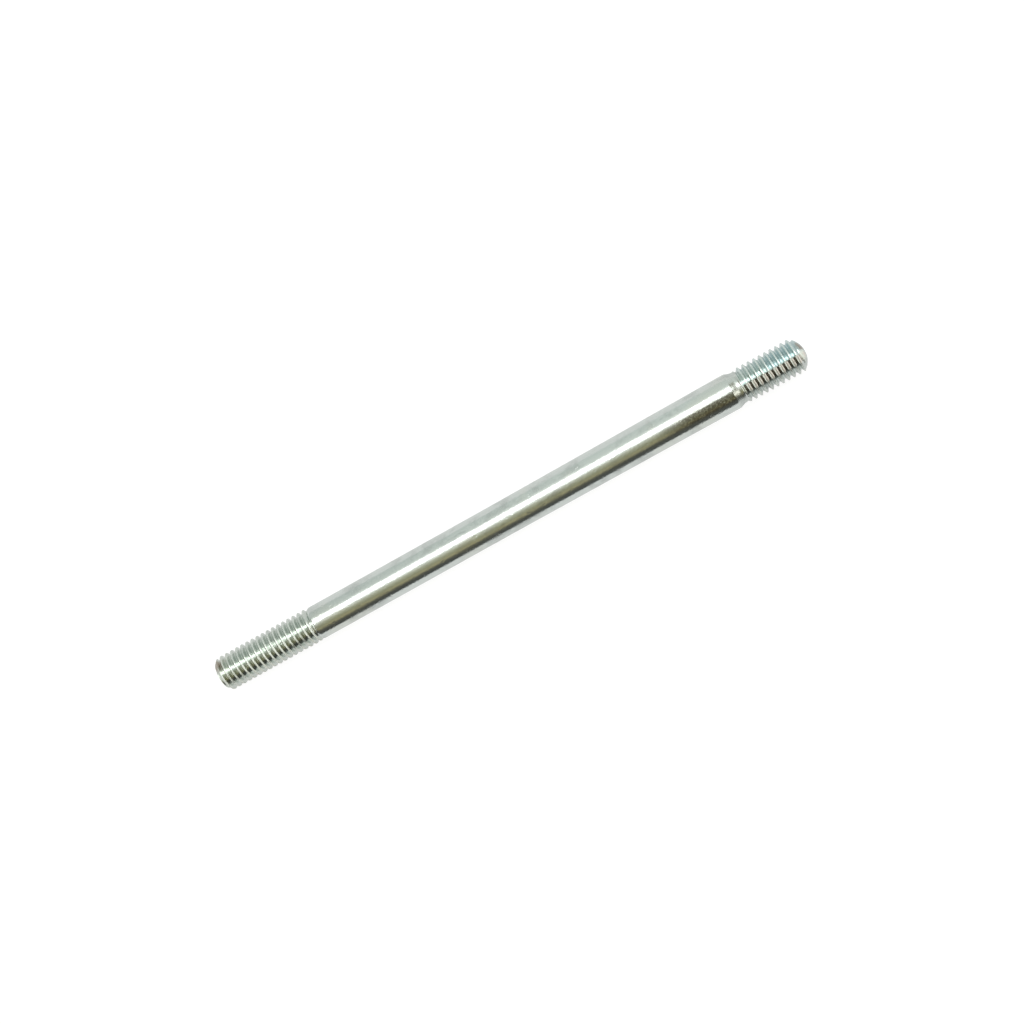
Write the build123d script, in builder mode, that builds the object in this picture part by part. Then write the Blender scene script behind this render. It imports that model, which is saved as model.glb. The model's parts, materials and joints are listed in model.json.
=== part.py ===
from build123d import *

import os
from math import asin, cos, radians, sin, tan

# A double-ended stud that holds a carburetor: one turned steel rod with a rolled M6 thread on each end.
# The metal end screws into the cylinder or manifold, and the nut end takes the nut. The stud lies along X.
# The origin is on its axis, at the shoulder where the full shank ends, and +X runs out along the metal end.
# Each thread has its true section and pitch here, as closed grooves that stand for the turns of its helix.

# Driving dimensions, in millimetres and degrees
overall_length = 110.6
shank_diameter = 5.81
shoulder_diameter = 6.18  # the shank swells a little towards the metal end
swell_length = 42.0  # from where the shank begins to swell to the shoulder

pitch = 1.0
thread_depth = 0.6134  # from the crests down to the roots
crest_flat = 0.125  # along the top of the thread
flank_angle = 30.0  # of each flank, from a plane across the axis

metal_end_length = 13.35  # from the shoulder to the tip
metal_crest_diameter = 6.0
metal_neck_diameter = 5.4  # the blank's diameter, close to the thread's pitch diameter
metal_cone_length = 1.15  # from the full shank down to the neck
metal_first_groove = 2.28  # from the shoulder to the middle of the first groove
metal_tip_diameter = 4.6  # where the chamfer meets the rounded tip
metal_tip_rise = 0.82  # how far the tip stands out in the middle

nut_end_length = 18.3  # from the edge of the full shank to the tip
nut_crest_diameter = 6.0
nut_neck_diameter = 5.45
nut_cone_length = 0.6
nut_first_groove = 0.87
nut_tip_diameter = 4.6
nut_tip_rise = 0.12

tip_angle = 45.0  # of each tip's chamfer, from the axis

# Worked out from them
shank_length = overall_length - metal_end_length - nut_end_length


def threaded_end(edge_diameter, length, crest_diameter, neck_diameter, cone, first_groove, tip_diameter, rise):
    """One end, turned about X out from where the full shank ends: cone, neck, thread and tip."""
    crest = crest_diameter / 2
    neck = neck_diameter / 2
    tip = tip_diameter / 2
    tip_edge = length - rise
    chamfer = (crest - tip) / tan(radians(tip_angle))
    dome = (tip**2 + rise**2) / (2 * rise)
    half_turn = asin(tip / dome) / 2
    half_top = (pitch - crest_flat) / 2
    half_root = half_top - thread_depth * tan(radians(flank_angle))
    turns = int((tip_edge - half_root - first_groove) / pitch) + 1
    with BuildPart() as end:
        with BuildSketch(Plane.XZ):
            with BuildLine():
                Polyline(
                    (length, 0),
                    (0, 0),
                    (0, edge_diameter / 2),
                    (cone, neck),
                    (first_groove, neck),
                    (first_groove, crest),
                    (tip_edge - chamfer, crest),
                    (tip_edge, tip),
                )
                ThreePointArc(
                    (tip_edge, tip),
                    (length - dome + dome * cos(half_turn), dome * sin(half_turn)),
                    (length, 0),
                )
            make_face()
        revolve(axis=Axis.X)
        with BuildSketch(Plane.XZ):
            with Locations(*[(first_groove + turn * pitch, crest) for turn in range(turns)]):
                Polygon(
                    (-half_top, 0),
                    (-half_root, -thread_depth),
                    (half_root, -thread_depth),
                    (half_top, 0),
                    align=None,
                )
        revolve(axis=Axis.X, mode=Mode.SUBTRACT)
    return end.part


metal_end = threaded_end(
    shoulder_diameter,
    metal_end_length,
    metal_crest_diameter,
    metal_neck_diameter,
    metal_cone_length,
    metal_first_groove,
    metal_tip_diameter,
    metal_tip_rise,
)
nut_end = threaded_end(
    shank_diameter,
    nut_end_length,
    nut_crest_diameter,
    nut_neck_diameter,
    nut_cone_length,
    nut_first_groove,
    nut_tip_diameter,
    nut_tip_rise,
)

with BuildPart() as stud:
    with BuildSketch(Plane.XZ):
        Polygon(
            (-shank_length, 0),
            (-shank_length, shank_diameter / 2),
            (-swell_length, shank_diameter / 2),
            (0, shoulder_diameter / 2),
            (0, 0),
            align=None,
        )
    revolve(axis=Axis.X)
    add(metal_end)
    with Locations(Location((-shank_length, 0, 0), (0, 0, 180))):
        add(nut_end)

os.makedirs("parts", exist_ok=True)
stud.part.label = "stud"
export_step(stud.part, "parts/stud.step")
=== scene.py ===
"""A zinc-plated carburetor stud with a rolled thread on each end, lying on a white studio floor."""

import json
import math

import bmesh
import bpy
from bpy.props import FloatProperty, FloatVectorProperty, IntProperty, PointerProperty
from mathutils import Matrix, Vector


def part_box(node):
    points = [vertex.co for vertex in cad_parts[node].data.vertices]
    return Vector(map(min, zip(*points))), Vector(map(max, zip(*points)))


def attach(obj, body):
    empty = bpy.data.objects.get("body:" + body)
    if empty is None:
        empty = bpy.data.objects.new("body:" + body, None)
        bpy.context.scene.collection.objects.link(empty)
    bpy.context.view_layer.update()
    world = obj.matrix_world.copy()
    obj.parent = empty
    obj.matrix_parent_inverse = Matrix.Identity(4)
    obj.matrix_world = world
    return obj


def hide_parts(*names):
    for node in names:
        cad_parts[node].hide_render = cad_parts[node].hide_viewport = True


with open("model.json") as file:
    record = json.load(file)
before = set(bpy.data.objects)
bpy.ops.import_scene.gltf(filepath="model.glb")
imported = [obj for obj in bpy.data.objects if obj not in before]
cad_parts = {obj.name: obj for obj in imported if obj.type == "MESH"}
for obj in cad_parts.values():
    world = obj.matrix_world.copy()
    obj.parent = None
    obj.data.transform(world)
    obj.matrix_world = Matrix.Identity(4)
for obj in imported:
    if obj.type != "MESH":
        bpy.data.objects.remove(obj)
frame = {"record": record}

bl_info = {
    "name": "Carburetor Stud",
    "version": (1, 0, 0),
    "blender": (4, 5, 0),
    "location": "3D View > Sidebar > Stud",
    "description": "Makes a zinc-plated carburetor stud with rolled threads, and the stage it lies on",
    "category": "Add Mesh",
}

# The stud lies along X. Its origin is on the axis at the shoulder of the metal end, and +X runs out along
# that end. Its front is the side towards -Y. An angle over it is measured from straight up, towards +Y.
MM = 0.001
MOUNTS = {mount["name"]: mount for mount in frame["record"]["mounts"]}
LOWEST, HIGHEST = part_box("stud")
SHANK_LENGTH = -MOUNTS["nut_end_thread"]["pos_m"][0]
CREST_RADIUS = MOUNTS["metal_end_thread"]["dims"]["r_mm"] * MM
THREAD_PITCH = 1.0 * MM


# Sizes and colours


def distance(name, description, default):
    return FloatProperty(
        name=name,
        description=description,
        default=default,
        min=0.0,
        precision=5,
        unit="LENGTH",
        subtype="DISTANCE",
    )


def angle(name, description, degrees):
    return FloatProperty(
        name=name,
        description=description,
        default=math.radians(degrees),
        unit="ROTATION",
        subtype="ANGLE",
    )


def share(name, description, default):
    return FloatProperty(
        name=name,
        description=description,
        default=default,
        min=0.0,
        max=1.0,
        subtype="FACTOR",
    )


def colour(name, description, default):
    return FloatVectorProperty(
        name=name,
        description=description,
        default=default,
        min=0.0,
        max=1.0,
        size=3,
        subtype="COLOR",
    )


def facets(name, description, default):
    return IntProperty(name=name, description=description, default=default, min=24)


def towards(name, description, default):
    return FloatVectorProperty(name=name, description=description, default=default, subtype="DIRECTION")


class StudSizes(bpy.types.PropertyGroup):
    """Sizes of the shank and of both threaded ends, each end measured out from the full shank"""

    shank_radius: distance(
        "Shank Radius", "Radius of the shank's straight part", MOUNTS["shank"]["dims"]["r_mm"] * MM
    )
    shoulder_radius: distance("Shoulder Radius", "Radius of the shank at the metal end", HIGHEST.z)
    swell_length: distance(
        "Swell Length", "From where the shank begins to swell to the shoulder", -MOUNTS["shank"]["pos_m"][0]
    )
    shank_corner: distance("Shank Corner", "How far the edges of the full shank are rounded", 0.12 * MM)
    pitch: distance("Pitch", "Distance from one thread crest to the next", THREAD_PITCH)
    depth: distance("Thread Depth", "From the crest down to the root", 0.58 * MM)
    crest_width: distance("Crest Width", "Width of the flat along the top of the thread", 0.21 * MM)
    crest_corner: distance("Crest Corner", "How far the thread's crests are rounded", 0.06 * MM)
    root_corner: distance("Root Corner", "How far the thread's roots are rounded", 0.05 * MM)
    flank: angle("Flank Angle", "Slope of each flank, from a plane across the axis", 30.0)

    metal_length: distance("Metal End Length", "From the full shank to the tip", HIGHEST.x)
    metal_crest: distance("Metal End Crest Radius", "Radius over the crests", CREST_RADIUS)
    metal_neck: distance("Metal End Neck Radius", "Radius where the thread runs out", 2.7 * MM)
    metal_cone: distance("Metal End Cone", "Length from the full shank down to the neck", 1.15 * MM)
    metal_runout: distance("Metal End Run-out", "Where the thread begins to rise", 1.25 * MM)
    metal_full: distance("Metal End Full Thread", "Where the thread reaches its full depth", 2.2 * MM)
    metal_start: angle("Metal End Start", "Where the crest stands at the full shank's edge", 196.0)
    metal_rise: distance("Metal End Tip Rise", "How far the tip stands out in the middle", 0.82 * MM)

    nut_cut: distance("Nut End Cut", "How far the thread's cone is cut into the shank", 0.4 * MM)
    nut_crest: distance(
        "Nut End Crest Radius", "Radius over the crests", MOUNTS["nut_end_thread"]["dims"]["r_mm"] * MM
    )
    nut_neck: distance("Nut End Neck Radius", "Radius where the thread runs out", 2.725 * MM)
    nut_cone: distance("Nut End Cone", "Length from the full shank down to the neck", 0.6 * MM)
    nut_runout: distance("Nut End Run-out", "Where the thread begins to rise", 0.25 * MM)
    nut_full: distance("Nut End Full Thread", "Where the thread reaches its full depth", 0.9 * MM)
    nut_start: angle("Nut End Start", "Where the crest stands at the full shank's edge", 117.0)
    nut_rise: distance("Nut End Tip Rise", "How far the tip stands out in the middle", 0.12 * MM)

    tip_radius: distance("Tip Radius", "Radius where the chamfer meets the tip", 2.3 * MM)
    tip_slope: angle("Tip Chamfer", "Slope of the chamfer at each tip, from the axis", 45.0)
    turn_steps: facets("Steps in a Turn", "Facets round one turn of the thread", 120)
    shank_steps: facets("Steps Round Shank", "Facets round the shank", 192)


class ZincFinish(bpy.types.PropertyGroup):
    """Colours of the zinc plate, its worn crests, its painted shade, highlights and reflections, and its
    roughness
    """

    zinc: colour("Zinc", "Colour of the clean plate", (0.70, 0.75, 0.725))
    dull_zinc: colour("Dull Zinc", "Colour of the plate where it has dulled", (0.58, 0.62, 0.60))
    nut_thread: colour("Nut End Thread", "Duller plate in the thread of the nut end", (0.60, 0.65, 0.605))
    # Partly the plate's passivate, partly a painted bluish reflection: laid on the +Y half of the metal end's
    # thread only.
    blue_tint: colour("Blue Tint", "Bluish passivate and painted reflection in the thread of the metal end", (0.53, 0.67, 0.69))
    smudge: colour("Smudge", "Grey smears along the plate", (0.42, 0.44, 0.43))
    yellow_tint: colour("Yellow Tint", "Thin yellow patches of the plate", (0.74, 0.73, 0.62))
    # Painted shade: a dark colour laid in the roots of the metal end's thread, on its front.
    root_shade: colour("Root Shade", "Painted shade down in the thread", (0.11, 0.09, 0.07))
    # Painted dark reflection: a brown patch on the top of each tip.
    reflection: colour("Tip Reflection", "Brown stain on the tips", (0.30, 0.24, 0.18))
    # Painted shade: a dark, grainy colour on the shank's front by the metal end.
    shank_shade: colour("Shank Shade", "Dark grainy painted shading on the shank by the metal end", (0.22, 0.21, 0.185))
    # Worn crests, partly painted highlights: greenish white, and warm on the flanks that face the tip.
    worn_crest_glint: colour("Worn Crest Glint", "Glinting burnished tops of the thread", (0.92, 0.97, 0.92))
    worn_flank_glint: colour("Worn Flank Glint", "Glinting burnished flanks that face the tip", (0.97, 0.92, 0.87))
    # Painted shade: a dark line along the middle of the metal end's worn crests, on the front.
    crest_top_shade: colour("Crest Top Shade", "Darker line along the middle of a worn crest", (0.20, 0.18, 0.15))

    nut_dulled: share("Nut End Dulled", "Strength of the duller plate in the nut end's thread", 0.9)
    blued: share("Blued", "Strength of the bluish tint", 0.75)
    smudged: share("Smudged", "Strength of the smears", 0.55)
    yellowed: share("Yellowed", "Strength of the yellow patches", 0.2)
    # Strength of the painted shade in the metal end's roots.
    root_shaded: share("Root Shaded", "Strength of the painted root shade in the thread", 0.85)
    # Strength of the painted dark reflection on the tips.
    reflected: share("Reflected", "Strength of the dark reflections on the tips", 0.75)
    # Strength of the painted shade on the shank's front.
    shank_shaded: share("Shank Shaded", "Strength of the painted shading by the metal end", 0.9)
    # Strength of the painted shade along the crests.
    top_dark: share("Top Dark", "Strength of the line along a worn crest", 0.7)
    # Level of the worn crest lines, partly painted highlights, away from the nut end's front.
    far_wear_and_glint: share("Far Wear and Glint", "Wear of the crests away from the nut end's worn side", 0.30)

    crest_phase: share("Crest Phase", "Where the crest stands in a turn of the metal end", 0.294)
    crest_wear_and_glint: share("Crest Wear and Glint", "How far the tops of the thread scatter light", 0.85)
    roughness: share("Roughness", "Roughness of the clean plate", 0.12)
    dull_roughness: share("Dull Roughness", "Roughness of the dulled plate", 0.30)
    cone_roughness: share("Cone Roughness", "Added roughness of the metal end's cone", 0.12)
    worn_roughness: share("Worn Roughness", "Added roughness of the worn crests", 0.20)


class StudioSettings(bpy.types.PropertyGroup):
    """The floor, the lamps beside the stud and the camera over it"""

    floor_size: distance("Floor Size", "Width of the white floor", 3.0)
    floor_white: share("Floor White", "Glow of the floor, before the light on it", 0.90)
    floor_mirrored: share("Floor In Reflections", "Glow of the floor in the metal", 0.62)
    paper: colour("Paper", "Colour of the floor's paper", (0.2, 0.2, 0.2))
    warm_lamp: towards("Warm Lamp", "Where the warm lamp stands", (0.56, -0.37, 0.74))
    cool_lamp: towards("Cool Lamp", "Where the cool lamp stands", (-0.98, -0.10, 0.16))
    lens: FloatProperty(
        name="Lens", description="Focal length on a 36 mm sensor", default=70.31, unit="CAMERA"
    )
    camera_distance: distance("Camera Distance", "From the camera down to the stud's axis", 328.93 * MM)
    camera_tilt: angle("Camera Tilt", "Lean of the camera towards the metal end", 6.7)
    camera_turn: angle("Camera Turn", "Slope of the stud across the picture", 29.16)
    camera_left: distance("Camera Left", "How far left of its aim the camera stands", 0.33 * MM)
    camera_up: distance("Camera Up", "How far up the picture from its aim the camera stands", 0.135 * MM)
    aim: distance("Aim", "Where on the axis the camera looks, from the full shank's edge", 40.744 * MM)


# Mesh

CONE_EASE = 1.3  # power that eases a cone into its neck
CONE_STEPS = 8
CORNER_GUARD = 0.4 * MM  # how near a corner of the shank its rounding is kept
BLANK_GAP = 0.1 * MM  # the blank stops this far before the thread's run-out
THREAD_LEAD = 0.05 * MM  # and the thread's skin starts this far before it
JOIN_REACH = 0.2 * MM
CHAMFER_SOFTNESS = 0.05 * MM
MERGE_DISTANCE = 0.001 * MM
CUT_DISTANCE = 0.0005 * MM
CORNER_SEGMENTS = 4
ROOT_SEGMENTS = 2
TIP_RINGS = (0.97, 0.92, 0.8, 0.65, 0.5, 0.35, 0.2)  # shares of the tip's lean, from its rim to its middle


def outline(bm, points):
    """Joins (along, out) points into a line of edges in the plane of X and Y."""
    verts = [bm.verts.new((along, out, 0.0)) for along, out in points]
    for one, other in zip(verts, verts[1:]):
        bm.edges.new((one, other))
    return verts


def round_corners(bm, verts, offset, segments):
    """Rounds corners of an outline."""
    bmesh.ops.bevel(
        bm,
        geom=verts,
        offset=offset,
        offset_type="OFFSET",
        affect="VERTICES",
        segments=segments,
        profile=0.5,
        material=-1,
    )


def turned(bm, lead, steps, closed):
    """Spins the outline one full turn round X, while it moves along X by its lead."""
    bmesh.ops.spin(
        bm,
        geom=bm.verts[:] + bm.edges[:],
        cent=(0.0, 0.0, 0.0),
        axis=(1.0, 0.0, 0.0),
        dvec=(lead / steps, 0.0, 0.0),
        angle=math.tau,
        steps=steps,
        use_merge=closed,
        use_normal_flip=False,
        use_duplicate=False,
    )


def kept(items, kind):
    """The items of one kind, such as the vertices, from what an operator made."""
    return [item for item in items if isinstance(item, kind)]


def smooth_step(start, end, value):
    """A smooth rise from 0 at start to 1 at end."""
    done = min(max((value - start) / (end - start), 0.0), 1.0)
    return done * done * (3.0 - 2.0 * done)


def blunt(one, other, softness):
    """The lesser of two radii, rounded where they cross."""
    return (one + other - math.sqrt((one - other) ** 2 + softness**2)) / 2


def cone_radius(edge, neck, cone, along):
    """Radius of the blank: the cone from the full shank, easing into the neck."""
    left = min(max(1.0 - along / cone, 0.0), 1.0)
    return neck + (edge - neck) * left**CONE_EASE


def round_tip(bm, rim, radius, rise):
    """Closes the rim with part of a sphere that stands out by its rise, ring by ring to the middle."""
    sphere = (radius**2 + rise**2) / (2 * rise)
    lean = math.asin(radius / sphere)
    done = 1.0
    for left in TIP_RINGS:
        made = bmesh.ops.extrude_edge_only(bm, edges=rim)["geom"]
        verts = kept(made, bmesh.types.BMVert)
        rim = kept(made, bmesh.types.BMEdge)
        smaller = math.sin(lean * left) / math.sin(lean * done)
        out = sphere * (math.cos(lean * left) - math.cos(lean * done))
        bmesh.ops.scale(bm, vec=(1.0, smaller, smaller), verts=verts)
        bmesh.ops.translate(bm, vec=(out, 0.0, 0.0), verts=verts)
        done = left
    face = bmesh.ops.edgeloop_fill(bm, edges=rim)["faces"]
    middle = bmesh.ops.poke(bm, faces=face)["verts"]
    bmesh.ops.translate(bm, vec=(sphere * (1.0 - math.cos(lean * done)), 0.0, 0.0), verts=middle)


def endless_thread(sizes, root, crest, start, length):
    """A plain helix from before the full shank's edge to past the tip, one turn repeated."""
    bm = bmesh.new()
    half_crest = sizes.crest_width / 2
    half_root = half_crest + sizes.depth * math.tan(sizes.flank)
    half_pitch = sizes.pitch / 2
    first = -start / math.tau * sizes.pitch - sizes.pitch
    verts = outline(
        bm,
        [
            (first - half_pitch, root),
            (first - half_root, root),
            (first - half_crest, crest),
            (first + half_crest, crest),
            (first + half_root, root),
            (first + half_pitch, root),
        ],
    )
    crests = verts[2:4]
    roots = [verts[1], verts[4]]
    round_corners(bm, crests, sizes.crest_corner, CORNER_SEGMENTS)
    round_corners(bm, roots, sizes.root_corner, ROOT_SEGMENTS)
    turned(bm, sizes.pitch, sizes.turn_steps, False)
    one_turn = bm.verts[:] + bm.edges[:] + bm.faces[:]
    turns = math.ceil((length - first) / sizes.pitch) + 1
    for turn in range(1, turns):
        copy = bmesh.ops.duplicate(bm, geom=one_turn)["geom"]
        verts = kept(copy, bmesh.types.BMVert)
        bmesh.ops.translate(bm, verts=verts, vec=(turn * sizes.pitch, 0.0, 0.0))
    bmesh.ops.remove_doubles(bm, verts=bm.verts[:], dist=MERGE_DISTANCE)
    return bm


def threaded_end(sizes, edge, length, crest, neck, cone, runout, full, start, rise):
    """A rolled thread along +X, from its neck to its tip, closed at the tip and open at the neck."""
    bm = endless_thread(sizes, crest - sizes.depth, crest, start, length)
    tip_edge = length - rise
    for vert in bm.verts:
        along = vert.co.x
        radius = math.hypot(vert.co.y, vert.co.z)
        blank = cone_radius(edge, neck, cone, along)
        risen = blank + (radius - neck) * smooth_step(runout, full, along)
        chamfer = sizes.tip_radius + (tip_edge - along) * math.tan(sizes.tip_slope)
        cut = blunt(risen, max(chamfer, sizes.tip_radius), CHAMFER_SOFTNESS)
        vert.co.y *= cut / radius
        vert.co.z *= cut / radius
    for place, normal in ((runout - THREAD_LEAD, -1.0), (tip_edge, 1.0)):
        sliced = bmesh.ops.bisect_plane(
            bm,
            geom=bm.verts[:] + bm.edges[:] + bm.faces[:],
            dist=CUT_DISTANCE,
            plane_co=(place, 0.0, 0.0),
            plane_no=(normal, 0.0, 0.0),
            clear_outer=True,
        )
    round_tip(bm, kept(sliced["geom_cut"], bmesh.types.BMEdge), sizes.tip_radius, rise)
    return bm


def add_end(bm, end, place):
    """Adds a finished end to the stud, moved to its place."""
    end.transform(place)
    loose = bpy.data.meshes.new("end")
    end.to_mesh(loose)
    end.free()
    bm.from_mesh(loose)
    bpy.data.meshes.remove(loose)


def blank_between(bm, sizes):
    """The plain length of the stud, turned round X: the shank and its two cones. Returns where it stops."""
    shank = sizes.shank_radius
    shoulder = sizes.shoulder_radius
    metal_edge = sizes.metal_runout - BLANK_GAP
    nut_edge = sizes.nut_runout - BLANK_GAP
    nut_shoulder = sizes.nut_cut - SHANK_LENGTH
    corners = [
        (nut_shoulder - nut_edge, cone_radius(shank, sizes.nut_neck, sizes.nut_cone, nut_edge)),
        (nut_shoulder, shank),
        (nut_shoulder + CORNER_GUARD, shank),
        (-sizes.swell_length, shank),
        (-CORNER_GUARD, shoulder),
        (0.0, shoulder),
    ]
    for step in range(2, CONE_STEPS + 1):
        along = metal_edge * step / CONE_STEPS
        corners.append((along, cone_radius(shoulder, sizes.metal_neck, sizes.metal_cone, along)))
    verts = outline(bm, corners)
    shoulders = [verts[1], verts[5]]
    round_corners(bm, shoulders, sizes.shank_corner, CORNER_SEGMENTS)
    turned(bm, 0.0, sizes.shank_steps, True)
    return metal_edge, nut_shoulder - nut_edge


def stud_mesh(sizes):
    """The whole stud as one closed skin."""
    bm = bmesh.new()
    joins = blank_between(bm, sizes)
    metal = threaded_end(
        sizes,
        sizes.shoulder_radius,
        sizes.metal_length,
        sizes.metal_crest,
        sizes.metal_neck,
        sizes.metal_cone,
        sizes.metal_runout,
        sizes.metal_full,
        sizes.metal_start,
        sizes.metal_rise,
    )
    add_end(bm, metal, Matrix.Identity(4))
    nut = threaded_end(
        sizes,
        sizes.shank_radius,
        -LOWEST.x - SHANK_LENGTH + sizes.nut_cut,
        sizes.nut_crest,
        sizes.nut_neck,
        sizes.nut_cone,
        sizes.nut_runout,
        sizes.nut_full,
        sizes.nut_start,
        sizes.nut_rise,
    )
    to_nut_end = Matrix.Translation((sizes.nut_cut - SHANK_LENGTH, 0.0, 0.0))
    add_end(bm, nut, to_nut_end @ Matrix.Rotation(math.pi, 4, "Z"))
    for join in joins:
        open_edges = [
            edge
            for edge in bm.edges
            if edge.is_boundary and abs(edge.verts[0].co.x - join) < JOIN_REACH
        ]
        bmesh.ops.bridge_loops(bm, edges=open_edges)
    bmesh.ops.recalc_face_normals(bm, faces=bm.faces[:])
    for face in bm.faces:
        face.smooth = True
    mesh = bpy.data.meshes.new("stud_steel")
    bm.to_mesh(mesh)
    bm.free()
    return mesh


# Nodes


def in_mm(*values):
    return tuple(value * MM for value in values)


def in_radians(*degrees):
    return tuple(math.radians(value) for value in degrees)


def node(tree, kind, place, **settings):
    made = tree.nodes.new(kind)
    made.location = place
    for name, value in settings.items():
        setattr(made, name, value)
    return made


def maths(tree, place, operation, one, other=0.0, third=0.0):
    """A Math node: each input is a socket or a number."""
    made = node(tree, "ShaderNodeMath", place, operation=operation)
    for socket, value in zip(made.inputs, (one, other, third)):
        if isinstance(value, float):
            socket.default_value = value
        else:
            tree.links.new(value, socket)
    return made.outputs[0]


def product(tree, place, *masks):
    """Where every one of the masks holds."""
    both = masks[0]
    for step, mask in enumerate(masks[1:]):
        both = maths(tree, (place[0] + 150 * step, place[1]), "MULTIPLY", both, mask)
    return both


def rising(tree, place, value, start, end, before=0.0, after=1.0):
    """A smooth rise from 0 at start to 1 at end, or between other levels before and after."""
    made = node(tree, "ShaderNodeMapRange", place, interpolation_type="SMOOTHSTEP")
    tree.links.new(value, made.inputs["Value"])
    made.inputs["From Min"].default_value = start
    made.inputs["From Max"].default_value = end
    made.inputs["To Min"].default_value = before
    made.inputs["To Max"].default_value = after
    return made.outputs["Result"]


def fading(tree, place, value, start, end):
    """A smooth fall from 1 at start to 0 at end."""
    return rising(tree, place, value, start, end, 1.0, 0.0)


def between(tree, place, value, start, full, still_full, end):
    """1 from full to still_full, and 0 before start and past end."""
    opening = rising(tree, place, value, start, full)
    closing = fading(tree, (place[0], place[1] - 200), value, still_full, end)
    return product(tree, (place[0] + 200, place[1] - 100), opening, closing)


def at_least(tree, place, mask, least):
    """A mask that falls no lower than least."""
    return maths(tree, place, "MULTIPLY_ADD", mask, 1.0 - least, least)


def noise(tree, place, vector, scale, detail, roughness):
    made = node(tree, "ShaderNodeTexNoise", place)
    made.inputs["Scale"].default_value = scale
    made.inputs["Detail"].default_value = detail
    made.inputs["Roughness"].default_value = roughness
    tree.links.new(vector, made.inputs["Vector"])
    return made


def stretched(tree, place, vector, along):
    """Coordinates for a pattern that is drawn out along the stud."""
    made = node(tree, "ShaderNodeMapping", place)
    made.inputs["Scale"].default_value = (along, 1.0, 1.0)
    tree.links.new(vector, made.inputs["Vector"])
    return made.outputs["Vector"]


def mixed(tree, place, factor, one, other):
    """A colour between two, each a socket or a colour: the first at factor 0, the other at factor 1."""
    made = node(tree, "ShaderNodeMix", place, data_type="RGBA")
    tree.links.new(factor, made.inputs["Factor"])
    for name, value in (("A", one), ("B", other)):
        if isinstance(value, bpy.types.NodeSocket):
            tree.links.new(value, made.inputs[name])
        else:
            made.inputs[name].default_value = (*value, 1.0)
    return made.outputs["Result"]


def spot(tree, place, where, centre, inner, outer):
    """A round patch about a point: 1 within its inner radius, fading out to its outer one."""
    apart = node(tree, "ShaderNodeVectorMath", place, operation="DISTANCE")
    apart.inputs[1].default_value = centre
    tree.links.new(where, apart.inputs[0])
    return fading(tree, (place[0] + 200, place[1]), apart.outputs["Value"], inner, outer)


def bumped(tree, place, height, strength, depth, under=None, inward=False):
    """The surface's normal under a relief of its own, laid on the relief under it."""
    made = node(tree, "ShaderNodeBump", place, invert=inward)
    made.inputs["Strength"].default_value = strength
    made.inputs["Distance"].default_value = depth
    tree.links.new(height, made.inputs["Height"])
    if under is not None:
        tree.links.new(under, made.inputs["Normal"])
    return made.outputs["Normal"]


# Zinc plate

# Zones of the finish along the axis: where each starts to change and where it has changed
METAL_THREAD = in_mm(1.7, 2.4)
NUT_THREAD = (-SHANK_LENGTH - 0.1 * MM, -SHANK_LENGTH + 0.4 * MM)
DOME = (HIGHEST.x - 1.3 * MM, HIGHEST.x - 0.9 * MM)
METAL_CONE = in_mm(-0.1, 0.2, 1.2, 1.8)
# Where the painted shade on the shank's front comes in, where it stops, and how far its start wavers
SHANK_SHADE_START = in_mm(-10.0, -2.0)
SHANK_SHADE_END = in_mm(-0.1, 0.1)
SHANK_SHADE_WAVER = 12.0 * MM

# Zones by the angle over the stud, and one by how far a place is towards +Y
FRONT_EDGE = in_radians(-35.0, -25.0)
FRONT_SIDE = in_radians(-4.0, 1.0)
BLUE_SIDE = in_mm(-0.5, 0.4)

# Zones out from the axis
ROOT = (CREST_RADIUS - 0.45 * MM, CREST_RADIUS - 0.32 * MM)
WIDE_CREST = (CREST_RADIUS - 0.40 * MM, CREST_RADIUS - 0.26 * MM)
THIN_CREST = (CREST_RADIUS - 0.11 * MM, CREST_RADIUS - 0.04 * MM)
CREST_TOP = (CREST_RADIUS - 0.04 * MM, CREST_RADIUS - 0.015 * MM)

# Painted reflections on the tips, dark and light: the middle, then the radius where it is whole and the one
# where it has gone
METAL_REFLECTION = (in_mm(13.5, 1.6, 2.0), *in_mm(0.45, 1.1))
# a painted highlight: the pale spot on the metal end's tip
METAL_HIGHLIGHT = (in_mm(13.4, 0.2, 2.5), *in_mm(0.5, 1.3))
NUT_REFLECTION = (in_mm(-96.0, 2.4, 2.4), *in_mm(0.5, 1.5))
RAGGED = 1.2 * MM

# Patterns: scale, detail and roughness of the noise
LINES = (2600.0, 5.0, 0.6)
GRAIN = (3200.0, 3.0, 0.6)
MOTTLE = (2600.0, 3.0, 0.7)
SMEARS = (480.0, 5.0, 0.65)
CLOUDS = (260.0, 6.0, 0.62)
DRIFT = (110.0, 2.0, 0.5)
SPECKS = (900.0, 2.0, 0.5)
LINE_STRETCH = 0.04
SMEAR_STRETCH = 0.35

# Levels of a pattern between which an effect comes in, and how much of it is there at least
DULL_CLOUDS = (0.46, 0.70)
BROKEN_CRESTS = (0.28, 0.50)
SMEARED = (0.58, 0.76)
BLUE_DRIFT = (0.22, 0.50)
YELLOW_DRIFT = (0.36, 0.48)
# levels of the mottle between which the painted shade on the shank's front comes in
SHANK_SHADE_MOTTLE = (0.46, 0.60)
PITS = (0.66, 0.72)
LEAST_BLUE = 0.5
# least share of the painted shade on the shank's front
LEAST_SHANK_SHADE = 0.45

# Reliefs: strength and depth
LINE_RELIEF = (0.5, 0.015 * MM)
GRAIN_RELIEF = (0.8, 0.03 * MM)
PIT_RELIEF = (0.6, 0.03 * MM)


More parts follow.
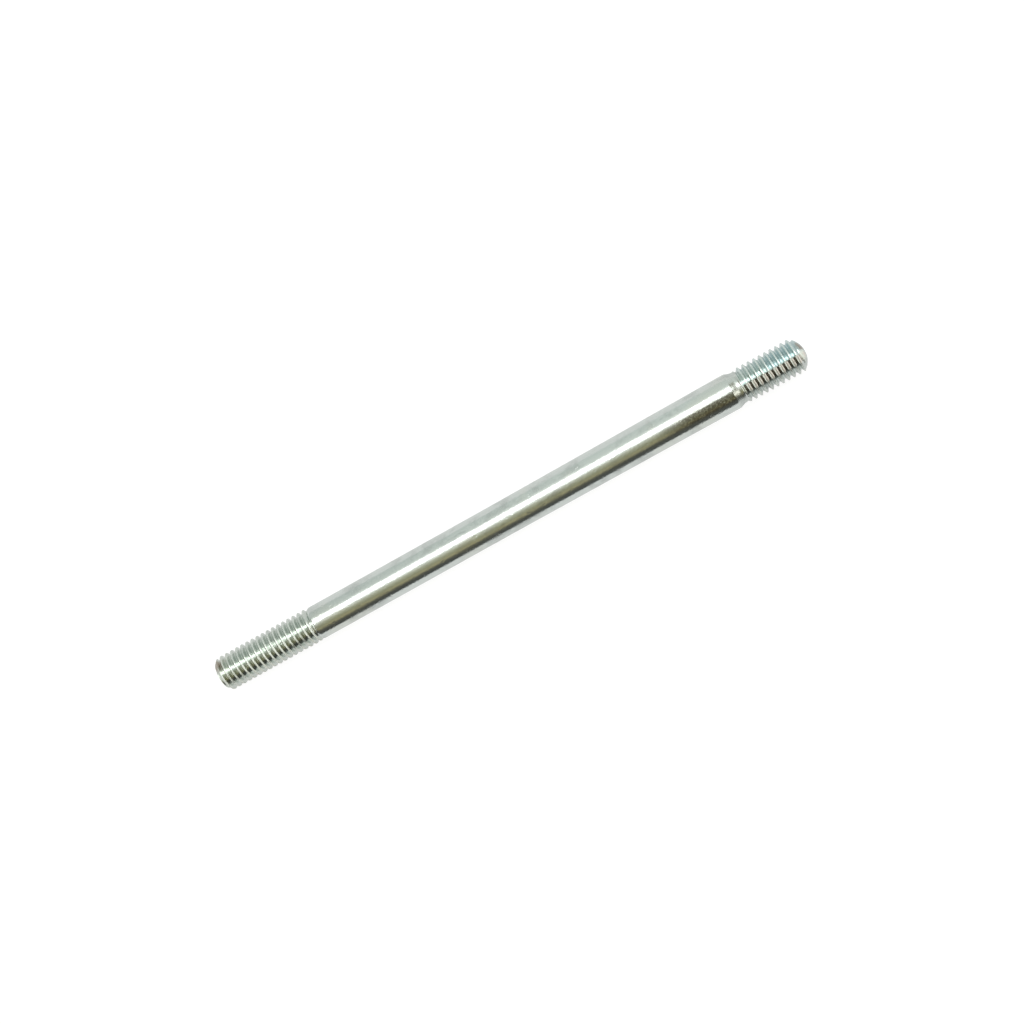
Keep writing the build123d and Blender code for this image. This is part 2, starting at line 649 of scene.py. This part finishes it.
class Places:
    """Where a point is on the stud, and the zones of the finish that several effects share."""

    def __init__(self, tree):
        self.where = node(tree, "ShaderNodeTexCoord", (-2000, 0)).outputs["Object"]
        axes = node(tree, "ShaderNodeSeparateXYZ", (-1800, 300))
        tree.links.new(self.where, axes.inputs["Vector"])
        self.along = axes.outputs["X"]
        self.aside = axes.outputs["Y"]
        self.over = maths(tree, (-1600, 300), "ARCTAN2", self.aside, axes.outputs["Z"])
        across = node(tree, "ShaderNodeVectorMath", (-1800, 600), operation="MULTIPLY")
        across.inputs[1].default_value = (0.0, 1.0, 1.0)
        tree.links.new(self.where, across.inputs[0])
        from_axis = node(tree, "ShaderNodeVectorMath", (-1600, 600), operation="LENGTH")
        tree.links.new(across.outputs["Vector"], from_axis.inputs[0])
        self.radius = from_axis.outputs["Value"]
        self.metal_thread = rising(tree, (-1200, 900), self.along, *METAL_THREAD)
        self.nut_thread = fading(tree, (-1200, 1100), self.along, *NUT_THREAD)
        self.front = fading(tree, (-1200, 1300), self.over, *FRONT_SIDE)
        front_edge = rising(tree, (-1200, 1500), self.over, *FRONT_EDGE)
        self.front_strip = product(tree, (-1000, 1400), self.front, front_edge)


def root_shade_mask(tree, places):
    """Painted shade in the roots of the metal end's thread, on its front and clear of the rounded tip."""
    root = fading(tree, (-1000, 500), places.radius, *ROOT)
    before_dome = fading(tree, (-1200, 1700), places.along, *DOME)
    return product(tree, (-800, 500), root, places.metal_thread, before_dome, places.front_strip)


def shank_shade_mask(tree, places, drift, mottle):
    """Painted shade: a grainy darkening over the front of the shank, up to the metal end's cone."""
    wavering = maths(tree, (-1000, 2500), "MULTIPLY_ADD", drift, SHANK_SHADE_WAVER, places.along)
    start = rising(tree, (-800, 2500), wavering, *SHANK_SHADE_START)
    end = fading(tree, (-800, 2700), places.along, *SHANK_SHADE_END)
    mottled = fading(tree, (-800, 2900), mottle, *SHANK_SHADE_MOTTLE)
    grainy = at_least(tree, (-600, 2900), mottled, LEAST_SHANK_SHADE)
    return product(tree, (-600, 2500), start, end, places.front_strip, grainy)


def tip_reflections(tree, places, scatter):
    """The painted dark reflections on both tips and the painted highlight on the metal end's, all with ragged
    edges.
    """
    warp = node(tree, "ShaderNodeVectorMath", (-1200, 3100), operation="MULTIPLY_ADD")
    warp.inputs[1].default_value = (RAGGED, RAGGED, RAGGED)
    tree.links.new(scatter, warp.inputs[0])
    tree.links.new(places.where, warp.inputs[2])
    ragged = warp.outputs["Vector"]
    metal_reflection = spot(tree, (-1000, 3100), ragged, *METAL_REFLECTION)
    nut_reflection = spot(tree, (-1000, 3300), ragged, *NUT_REFLECTION)
    reflected = maths(tree, (-600, 3200), "MAXIMUM", metal_reflection, nut_reflection)
    tip_highlight = spot(tree, (-1000, 3500), ragged, *METAL_HIGHLIGHT)
    return reflected, tip_highlight


def crest_wear_and_glint(tree, finish, places, clouds):
    """Worn crests, which are partly painted highlights: a wide line on the metal end's front, and a thin and
    broken one elsewhere.
    """
    thin = rising(tree, (-1000, 700), places.radius, *THIN_CREST)
    wide = rising(tree, (-1000, 600), places.radius, *WIDE_CREST)
    patchy = rising(tree, (-1200, 200), clouds, *BROKEN_CRESTS)
    threaded = maths(tree, (-900, 1200), "MAXIMUM", places.metal_thread, places.nut_thread)
    nut_front = product(tree, (-900, 1100), places.nut_thread, places.front)
    by_side = at_least(tree, (-700, 800), nut_front, finish.far_wear_and_glint)
    thin_line = product(tree, (-600, 800), by_side, threaded, thin, patchy)
    wide_line = product(tree, (-600, 700), wide, places.metal_thread, places.front_strip)
    return maths(tree, (-100, 750), "MAXIMUM", thin_line, wide_line)


def wear_and_glint_tone(tree, finish, places):
    """Colour of the worn crests, which is also a painted highlight, with a warm painted highlight of its own
    on the half of each turn that faces the tip.
    """
    turns = maths(tree, (-1200, 2100), "MULTIPLY", places.along, 1.0 / THREAD_PITCH)
    phase = maths(tree, (-1050, 2100), "MULTIPLY_ADD", places.over, 1.0 / math.tau, turns)
    shifted = maths(tree, (-900, 2100), "ADD", phase, finish.crest_phase)
    in_turn = maths(tree, (-750, 2100), "FRACT", shifted)
    outer_flank = maths(tree, (-600, 2100), "LESS_THAN", in_turn, 0.5)
    one_flank = product(tree, (-450, 2100), outer_flank, places.metal_thread, places.front_strip)
    return mixed(tree, (500, 500), one_flank, finish.worn_crest_glint, finish.worn_flank_glint)


def zinc_material(finish):
    """Bright zinc plate: drawn lines, dull clouds, tints, one of them partly a painted bluish reflection,
    pits, painted shade in the metal end's roots and on the shank's front, worn crests with painted
    highlights, and painted dark and light reflections on the tips.
    """
    material = bpy.data.materials.new("zinc_plated_steel")
    material.use_nodes = True
    tree = material.node_tree
    tree.nodes.clear()
    link = tree.links.new
    output = node(tree, "ShaderNodeOutputMaterial", (2400, 0))
    steel = node(tree, "ShaderNodeBsdfPrincipled", (2100, 0))
    link(steel.outputs["BSDF"], output.inputs["Surface"])
    places = Places(tree)

    drawn = stretched(tree, (-1800, -200), places.where, LINE_STRETCH)
    half_drawn = stretched(tree, (-1800, -1100), places.where, SMEAR_STRETCH)
    lines = noise(tree, (-1400, -200), drawn, *LINES).outputs["Fac"]
    grain = noise(tree, (-1400, -450), places.where, *GRAIN).outputs["Fac"]
    mottle = noise(tree, (-1400, -900), places.where, *MOTTLE).outputs["Fac"]
    smears = noise(tree, (-1400, -1100), half_drawn, *SMEARS).outputs["Fac"]
    clouds = noise(tree, (-1400, 0), places.where, *CLOUDS).outputs["Fac"]
    drift = noise(tree, (-1400, 200), places.where, *DRIFT).outputs["Fac"]
    specks = noise(tree, (-1400, -700), places.where, *SPECKS)

    dull = rising(tree, (-1200, 0), clouds, *DULL_CLOUDS)
    smeared = rising(tree, (-1000, -1100), smears, *SMEARED)
    yellow = fading(tree, (-1200, -300), drift, *YELLOW_DRIFT)
    blue_drift = rising(tree, (-1200, -100), drift, *BLUE_DRIFT)
    blue_part = at_least(tree, (-900, 300), blue_drift, LEAST_BLUE)
    # The bluish tint, partly a painted reflection, keeps to the +Y half.
    blue_side = rising(tree, (-1200, 400), places.aside, *BLUE_SIDE)
    blue = product(tree, (-700, 300), blue_side, places.metal_thread, blue_part)
    # Painted shade in the roots of the metal end's thread
    root_shade = root_shade_mask(tree, places)
    # Painted shade on the shank's front by the metal end
    shank_shade = shank_shade_mask(tree, places, drift, mottle)
    # Painted dark reflections on the tips, and a painted highlight on the metal end's tip
    reflection, tip_highlight = tip_reflections(tree, places, specks.outputs["Color"])
    # Worn crests, partly painted highlights
    wear_and_glint = crest_wear_and_glint(tree, finish, places, clouds)
    # The pale colour covers the crests and the painted highlight on the metal end's tip.
    pale = maths(tree, (400, 300), "MAXIMUM", wear_and_glint, tip_highlight)

    tone = mixed(tree, (-400, 0), dull, finish.zinc, finish.dull_zinc)
    layers = (
        (places.nut_thread, finish.nut_dulled, finish.nut_thread),
        # bluish tint, partly a painted reflection
        (blue, finish.blued, finish.blue_tint),
        (smeared, finish.smudged, finish.smudge),
        (yellow, finish.yellowed, finish.yellow_tint),
        # painted shade in the metal end's roots
        (root_shade, finish.root_shaded, finish.root_shade),
        # painted dark reflection on the tips
        (reflection, finish.reflected, finish.reflection),
        # painted shade on the shank's front
        (shank_shade, finish.shank_shaded, finish.shank_shade),
    )
    for step, (mask, strength, layer) in enumerate(layers):
        laid = maths(tree, (-250 + 150 * step, 200), "MULTIPLY", mask, strength)
        tone = mixed(tree, (-250 + 150 * step, 0), laid, tone, layer)
    # The pale crests are partly wear and partly painted highlight.
    tone = mixed(tree, (850, 0), pale, tone, wear_and_glint_tone(tree, finish, places))
    # Painted shade along the middle of the metal end's crests, on the front
    crest_top_shade = rising(tree, (-1000, 400), places.radius, *CREST_TOP)
    top_shade_line = product(tree, (500, 400), crest_top_shade, places.metal_thread, places.front_strip, finish.top_dark)
    tone = mixed(tree, (1050, 0), top_shade_line, tone, finish.crest_top_shade)
    link(tone, steel.inputs["Base Color"])

    metallic = maths(tree, (1050, 700), "MULTIPLY_ADD", pale, -finish.crest_wear_and_glint, 1.0)
    link(metallic, steel.inputs["Metallic"])

    duller = finish.dull_roughness - finish.roughness
    cone = between(tree, (-1200, 2500), places.along, *METAL_CONE)
    rough = maths(tree, (400, -200), "MULTIPLY_ADD", dull, duller, finish.roughness)
    rough = maths(tree, (550, -200), "MULTIPLY_ADD", cone, finish.cone_roughness, rough)
    rough = maths(tree, (700, -200), "MULTIPLY_ADD", pale, finish.worn_roughness, rough)
    link(rough, steel.inputs["Roughness"])

    pits = rising(tree, (-1200, -700), specks.outputs["Fac"], *PITS)
    relief = bumped(tree, (1500, -300), lines, *LINE_RELIEF)
    relief = bumped(tree, (1700, -300), grain, *GRAIN_RELIEF, under=relief)
    relief = bumped(tree, (1900, -300), pits, *PIT_RELIEF, under=relief, inward=True)
    link(relief, steel.inputs["Normal"])
    return material


# Stage

# Light of the room's walls, in degrees over the stud from its back, the +Y side (-90), to its front (90)
WALLS = (
    (-80.0, (0.68, 0.72, 0.69)),
    (-50.0, (0.74, 0.78, 0.74)),
    (-2.0, (0.95, 0.95, 0.88)),
    (6.0, (0.80, 0.79, 0.68)),
    (14.0, (0.62, 0.61, 0.48)),
    (22.0, (0.48, 0.47, 0.33)),
    (34.0, (0.35, 0.34, 0.22)),
    (44.0, (0.47, 0.42, 0.24)),
    (50.0, (0.34, 0.31, 0.20)),
    (57.0, (0.13, 0.125, 0.10)),
    (70.0, (0.10, 0.10, 0.09)),
    (82.0, (0.09, 0.095, 0.09)),
    (90.0, (0.10, 0.11, 0.10)),
)

# The walls dim where a direction leans towards the nut end.
NUT_WALL = (-0.22, -0.12)
NUT_WALL_LEFT = 0.85

# The softbox is a long strip over the stud, brightest in the middle, with a gap towards each end.
# Its middle and its half widths are angles over the stud. Its gaps are by the lean along the stud.
SOFTBOX_OVER = math.radians(18.0)
SOFTBOX = in_radians(10.0, 22.0)
SOFTBOX_CORE = in_radians(3.0, 14.0)
GAP_SIDES = in_radians(25.0, 50.0)
METAL_GAP = (0.42, 0.50, 0.68, 0.76)
NUT_GAP = (-0.86, -0.78, -0.68, -0.60)

# The front of the room is darker towards the metal end, and has two narrow lights, which stand in line
# with the thread's flanks.
FRONT_OVER = math.radians(35.0)
FRONT_SHADE = in_radians(29.0, 44.0)
FRONT_SHADE_ALONG = (-0.032, -0.016)
FRONT_SHADE_LEFT = 0.6
FLANK_SIDES = in_radians(28.0, 40.0)
FLANK_ALONG = (0.78, 0.84, 0.90, 0.95)

WARM_WIDTH = in_radians(5.0, 17.0)
COOL_WIDTH = in_radians(8.0, 20.0)

# Colours and strengths of the lights, and the strength that the brightest of them stays within
SOFTBOX_LIGHT = (1.5, 1.5, 1.46)
SOFTBOX_MIDDLE = (3.6, 3.6, 3.5)
CEILING = (0.24, 0.225, 0.16)
FLANK_LAMPS = (1.6, 1.6, 1.5)
WARM_LAMP = (1.7, 1.62, 1.45)
COOL_LAMP = (1.5, 1.65, 1.55)
BRIGHTEST = 3.6

NEAREST_SEEN = 1.0 * MM
FARTHEST_SEEN = 10.0


def scaled(light):
    """A light as a colour, for a background of the brightest light's strength."""
    return tuple(value / BRIGHTEST for value in light)


def dimmed(tree, place, under, mask, left):
    """Dims what is under it where the mask is 1, down to the share that is left."""
    factor = maths(tree, place, "MULTIPLY_ADD", mask, left - 1.0, 1.0)
    made = node(tree, "ShaderNodeVectorMath", (place[0] + 200, place[1]), operation="SCALE")
    tree.links.new(under, made.inputs[0])
    tree.links.new(factor, made.inputs["Scale"])
    return made.outputs[0]


def lamp_mask(tree, place, direction, lamp, inner, outer):
    """A round light: 1 within its inner angle, fading out to its outer one."""
    apart = node(tree, "ShaderNodeVectorMath", place, operation="DOT_PRODUCT")
    apart.inputs[1].default_value = Vector(lamp).normalized()
    tree.links.new(direction, apart.inputs[0])
    return rising(tree, (place[0] + 200, place[1]), apart.outputs["Value"], math.cos(outer), math.cos(inner))


def wall_light(tree, over):
    """The plain bands of the room's walls."""
    spread = node(tree, "ShaderNodeMapRange", (-1000, 0))
    spread.inputs["From Min"].default_value = math.pi / 2
    spread.inputs["From Max"].default_value = -math.pi / 2
    tree.links.new(over, spread.inputs["Value"])
    walls = node(tree, "ShaderNodeValToRGB", (-800, 0))
    elements = walls.color_ramp.elements
    elements.remove(elements[-1])
    for index, (degrees, light) in enumerate(WALLS):
        position = degrees / 180.0 + 0.5
        element = elements[0] if index == 0 else elements.new(position)
        element.position = position
        element.color = (*scaled(light), 1.0)
    tree.links.new(spread.outputs["Result"], walls.inputs["Fac"])
    return walls.outputs["Color"]


def light_room(world, studio):
    """A white room to the camera, and soft bands of light and shade to the metal."""
    world.use_nodes = True
    tree = world.node_tree
    tree.nodes.clear()
    link = tree.links.new
    direction = node(tree, "ShaderNodeTexCoord", (-1600, 0)).outputs["Generated"]
    axes = node(tree, "ShaderNodeSeparateXYZ", (-1400, 0))
    link(direction, axes.inputs["Vector"])
    along = axes.outputs["X"]
    over = maths(tree, (-1200, 0), "ARCTAN2", axes.outputs["Y"], axes.outputs["Z"])

    nut_wall = fading(tree, (-1000, 400), along, *NUT_WALL)
    lit = dimmed(tree, (-600, 0), wall_light(tree, over), nut_wall, NUT_WALL_LEFT)

    from_middle = maths(tree, (-1000, -300), "SUBTRACT", over, SOFTBOX_OVER)
    off_middle = maths(tree, (-800, -300), "ABSOLUTE", from_middle)
    softbox = fading(tree, (-400, -300), off_middle, *SOFTBOX)
    core = fading(tree, (-400, -500), off_middle, *SOFTBOX_CORE)
    metal_gap = between(tree, (-1000, -700), along, *METAL_GAP)
    nut_gap = between(tree, (-1000, -1100), along, *NUT_GAP)
    gap = maths(tree, (-600, -800), "MAXIMUM", metal_gap, nut_gap)
    gap_sides = fading(tree, (-600, -1000), off_middle, *GAP_SIDES)
    dark_gap = product(tree, (-400, -900), gap, gap_sides)

    from_front = maths(tree, (-1000, 800), "ADD", over, FRONT_OVER)
    off_front = maths(tree, (-800, 800), "ABSOLUTE", from_front)
    shade_along = rising(tree, (-1000, 600), along, *FRONT_SHADE_ALONG)
    shade_over = fading(tree, (-600, 800), off_front, *FRONT_SHADE)
    shaded = product(tree, (-400, 700), shade_along, shade_over)

    either_way = maths(tree, (-1200, 200), "ABSOLUTE", along)
    flank_along = between(tree, (-1000, -1500), either_way, *FLANK_ALONG)
    flank_over = fading(tree, (-1000, -1900), off_front, *FLANK_SIDES)
    flanks = product(tree, (-600, -1700), flank_along, flank_over)

    warm = lamp_mask(tree, (-400, -1100), direction, studio.warm_lamp, *WARM_WIDTH)
    cool = lamp_mask(tree, (-400, -1300), direction, studio.cool_lamp, *COOL_WIDTH)

    lit = mixed(tree, (0, 0), softbox, lit, scaled(SOFTBOX_LIGHT))
    lit = mixed(tree, (150, 0), core, lit, scaled(SOFTBOX_MIDDLE))
    lit = mixed(tree, (300, 0), dark_gap, lit, scaled(CEILING))
    lit = dimmed(tree, (300, -300), lit, shaded, FRONT_SHADE_LEFT)
    lit = mixed(tree, (600, 0), flanks, lit, scaled(FLANK_LAMPS))
    lit = mixed(tree, (750, 0), warm, lit, scaled(WARM_LAMP))
    lit = mixed(tree, (900, 0), cool, lit, scaled(COOL_LAMP))

    bands = node(tree, "ShaderNodeBackground", (1100, -50))
    bands.inputs["Strength"].default_value = BRIGHTEST
    link(lit, bands.inputs["Color"])
    white = node(tree, "ShaderNodeBackground", (1100, 150))
    white.inputs["Color"].default_value = (1.0, 1.0, 1.0, 1.0)
    path = node(tree, "ShaderNodeLightPath", (1100, 500))
    either = node(tree, "ShaderNodeMixShader", (1300, 0))
    link(path.outputs["Is Camera Ray"], either.inputs["Fac"])
    link(bands.outputs["Background"], either.inputs[1])
    link(white.outputs["Background"], either.inputs[2])
    output = node(tree, "ShaderNodeOutputWorld", (1500, 0))
    link(either.outputs["Shader"], output.inputs["Surface"])


def floor_material(studio):
    """White paper: a plain sheet that glows to the camera and, less, in reflections, and keeps a shadow."""
    material = bpy.data.materials.new("white_floor")
    material.use_nodes = True
    tree = material.node_tree
    tree.nodes.clear()
    link = tree.links.new
    path = node(tree, "ShaderNodeLightPath", (-800, 200))
    seen = maths(tree, (-600, 200), "MULTIPLY", path.outputs["Is Camera Ray"], studio.floor_white)
    mirrored = maths(
        tree, (-600, 0), "MAXIMUM", path.outputs["Is Glossy Ray"], path.outputs["Is Transmission Ray"]
    )
    level = maths(tree, (-400, 100), "MULTIPLY_ADD", mirrored, studio.floor_mirrored, seen)
    glow = node(tree, "ShaderNodeEmission", (200, 100))
    paper = node(tree, "ShaderNodeBsdfDiffuse", (200, -100))
    paper.inputs["Color"].default_value = (*studio.paper, 1.0)
    both = node(tree, "ShaderNodeAddShader", (500, 0))
    output = node(tree, "ShaderNodeOutputMaterial", (800, 0))
    link(level, glow.inputs["Strength"])
    link(glow.outputs["Emission"], both.inputs[0])
    link(paper.outputs["BSDF"], both.inputs[1])
    link(both.outputs["Shader"], output.inputs["Surface"])
    return material


def make_floor(studio):
    """The white sheet that the stud lies on."""
    bm = bmesh.new()
    bmesh.ops.create_grid(
        bm,
        x_segments=1,
        y_segments=1,
        size=studio.floor_size / 2,
        matrix=Matrix.Translation((0.0, 0.0, LOWEST.z)),
    )
    mesh = bpy.data.meshes.new("floor")
    bm.to_mesh(mesh)
    bm.free()
    floor = bpy.data.objects.new("floor", mesh)
    bpy.context.scene.collection.objects.link(floor)
    mesh.materials.append(floor_material(studio))


def place_camera(studio):
    """A camera over the stud, looking down on it."""
    data = bpy.data.cameras.new("camera")
    data.lens = studio.lens
    data.clip_start = NEAREST_SEEN
    data.clip_end = FARTHEST_SEEN
    camera = bpy.data.objects.new("camera", data)
    bpy.context.scene.collection.objects.link(camera)
    camera.matrix_world = (
        Matrix.Translation((-studio.aim, 0.0, 0.0))
        @ Matrix.Rotation(studio.camera_tilt, 4, "Y")
        @ Matrix.Rotation(-studio.camera_turn, 4, "Z")
        @ Matrix.Translation((-studio.camera_left, studio.camera_up, studio.camera_distance))
    )
    bpy.context.scene.camera = camera


# Operators


class STUD_OT_steel(bpy.types.Operator):
    """Makes the whole stud with its two rolled threads, in zinc plate"""

    bl_idname = "stud.steel"
    bl_label = "Make Stud"

    def execute(self, context):
        scene = context.scene
        stud = bpy.data.objects.new("stud_steel", stud_mesh(scene.stud_sizes))
        scene.collection.objects.link(stud)
        stud.data.materials.append(zinc_material(scene.zinc_finish))
        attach(stud, "root")
        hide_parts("stud")
        return {"FINISHED"}


class STUD_OT_stage(bpy.types.Operator):
    """Makes the white floor, the light and the camera"""

    bl_idname = "stud.stage"
    bl_label = "Make Stage"

    def execute(self, context):
        scene = context.scene
        if scene.world is None:
            scene.world = bpy.data.worlds.new("room")
        light_room(scene.world, scene.studio)
        make_floor(scene.studio)
        place_camera(scene.studio)
        scene.view_settings.view_transform = "Standard"
        return {"FINISHED"}


class STUD_PT_panel(bpy.types.Panel):
    """Sizes, finish and stage of the stud"""

    bl_idname = "STUD_PT_panel"
    bl_label = "Carburetor Stud"
    bl_space_type = "VIEW_3D"
    bl_region_type = "UI"
    bl_category = "Stud"

    def draw(self, context):
        layout = self.layout
        scene = context.scene
        for title, group in (
            ("Sizes", scene.stud_sizes),
            ("Finish", scene.zinc_finish),
            ("Stage", scene.studio),
        ):
            box = layout.box()
            box.label(text=title)
            for name in group.__annotations__:
                box.prop(group, name)
        layout.operator(STUD_OT_steel.bl_idname)
        layout.operator(STUD_OT_stage.bl_idname)


CLASSES = (StudSizes, ZincFinish, StudioSettings, STUD_OT_steel, STUD_OT_stage, STUD_PT_panel)


def register():
    for entry in CLASSES:
        bpy.utils.register_class(entry)
    bpy.types.Scene.stud_sizes = PointerProperty(type=StudSizes)
    bpy.types.Scene.zinc_finish = PointerProperty(type=ZincFinish)
    bpy.types.Scene.studio = PointerProperty(type=StudioSettings)


def unregister():
    del bpy.types.Scene.studio
    del bpy.types.Scene.zinc_finish
    del bpy.types.Scene.stud_sizes
    for entry in reversed(CLASSES):
        bpy.utils.unregister_class(entry)


def main():
    register()
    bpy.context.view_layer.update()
    bpy.ops.stud.steel()
    bpy.ops.stud.stage()


if __name__ == "__main__":
    main()
